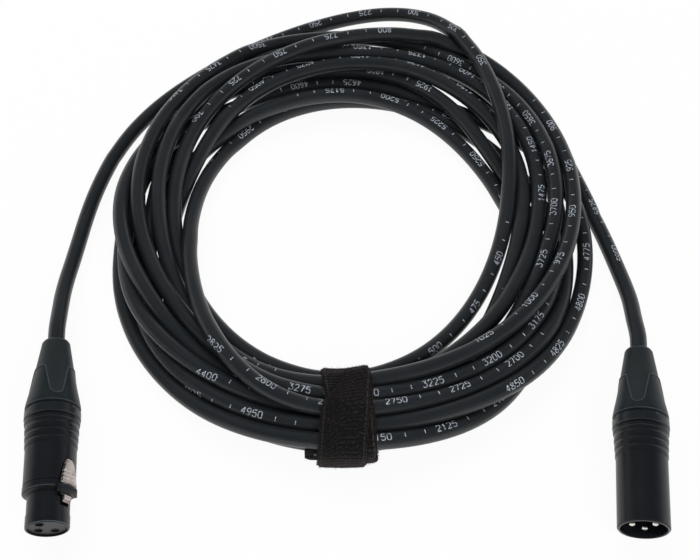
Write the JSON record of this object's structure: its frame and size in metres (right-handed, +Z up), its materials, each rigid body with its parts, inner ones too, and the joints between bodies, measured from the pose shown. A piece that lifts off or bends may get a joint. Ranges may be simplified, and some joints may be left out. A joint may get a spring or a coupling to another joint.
{
  "type": "coiled microphone cable with round three-pole plugs",
  "caption": "Coiled microphone cable tied with a hook-and-loop strap, with a latching round socket plug on one end and a round pin plug on the other, lying flat.",
  "frame": {"origin": "bottom centre of the whole object's box, on the floor, near the middle of the coil's hole", "axes": "+Z up, -Y towards the side where both plugs and the strap lie, +X towards the pin plug"},
  "size_m": [0.2375, 0.2646, 0.0205],
  "materials": {
    "cable_jacket": "matte with a soft sheen",
    "strap_fabric": "matte woven",
    "black_metal": "satin black",
    "black_plastic": "matte",
    "bushing_plastic": "satin",
    "boot_rubber": "matte",
    "contact_metal": "polished",
    "nickel": "satin nickel",
    "steel": "bright",
    "wire_red": "satin",
    "wire_white": "satin",
    "wire_copper": "bare copper"
  },
  "bodies": {
    "cable": {"cable_coil": "cable_jacket", "socket_tail": "cable_jacket", "pin_tail": "cable_jacket", "strap": "strap_fabric", "socket_housing": "black_metal", "socket_insert": "black_plastic", "socket_contact_1": "contact_metal", "socket_contact_2": "contact_metal", "socket_contact_3": "contact_metal", "latch_pivot": "steel", "latch_spring": "steel", "socket_chuck": "black_plastic", "socket_wire_red": "wire_red", "socket_wire_white": "wire_white", "socket_wire_shield": "wire_copper", "pin_housing": "black_metal", "pin_insert": "black_plastic", "contact_pin_1": "contact_metal", "contact_pin_2": "contact_metal", "contact_pin_3": "contact_metal", "ground_contact": "contact_metal", "pin_chuck": "black_plastic", "pin_wire_red": "wire_red", "pin_wire_white": "wire_white", "pin_wire_shield": "wire_copper"},
    "latch": {"latch": "nickel"},
    "socket_ring": {"socket_coding_ring": "black_plastic"},
    "socket_bushing_and_boot": {"socket_bushing": "bushing_plastic", "socket_boot": "boot_rubber"},
    "pin_ring": {"pin_coding_ring": "black_plastic"},
    "pin_bushing_and_boot": {"pin_bushing": "bushing_plastic", "pin_boot": "boot_rubber"}
  },
  "joints": [
    {"name": "latch_press", "type": "hinge", "parent": "cable", "child": "latch", "pos_m": [-0.1006, -0.10882, 0.01335], "axis": [0.4822, 0.0507, -0.8746], "range_deg": [0, 4.5], "stiffness_Nm_per_rad": 0.3, "springref_deg": -1.72, "deforming": ["latch_spring"]},
    {"name": "socket_ring_slide", "type": "slide", "parent": "cable", "child": "socket_ring", "axis": [-0.1045, 0.9945, 0], "range_m": [0, 0.0024]},
    {"name": "socket_bushing_unscrew", "type": "hinge", "parent": "socket_ring", "child": "socket_bushing_and_boot", "pos_m": [-0.10966, -0.07619, 0.01025], "axis": [-0.1045, 0.9945, 0], "range_deg": [0, 721]},
    {"name": "pin_ring_slide", "type": "slide", "parent": "cable", "child": "pin_ring", "axis": [0.1184, 0.993, 0], "range_m": [0, 0.0024]},
    {"name": "pin_bushing_unscrew", "type": "hinge", "parent": "pin_ring", "child": "pin_bushing_and_boot", "pos_m": [0.10968, -0.07976, 0.01025], "axis": [0.1184, 0.993, 0], "range_deg": [0, 721]}
  ],
  "couplings": [
    {"joint": "socket_bushing_unscrew", "follows": "socket_ring_slide", "rad_per_m": 5236},
    {"joint": "pin_bushing_unscrew", "follows": "pin_ring_slide", "rad_per_m": 5236}
  ]
}
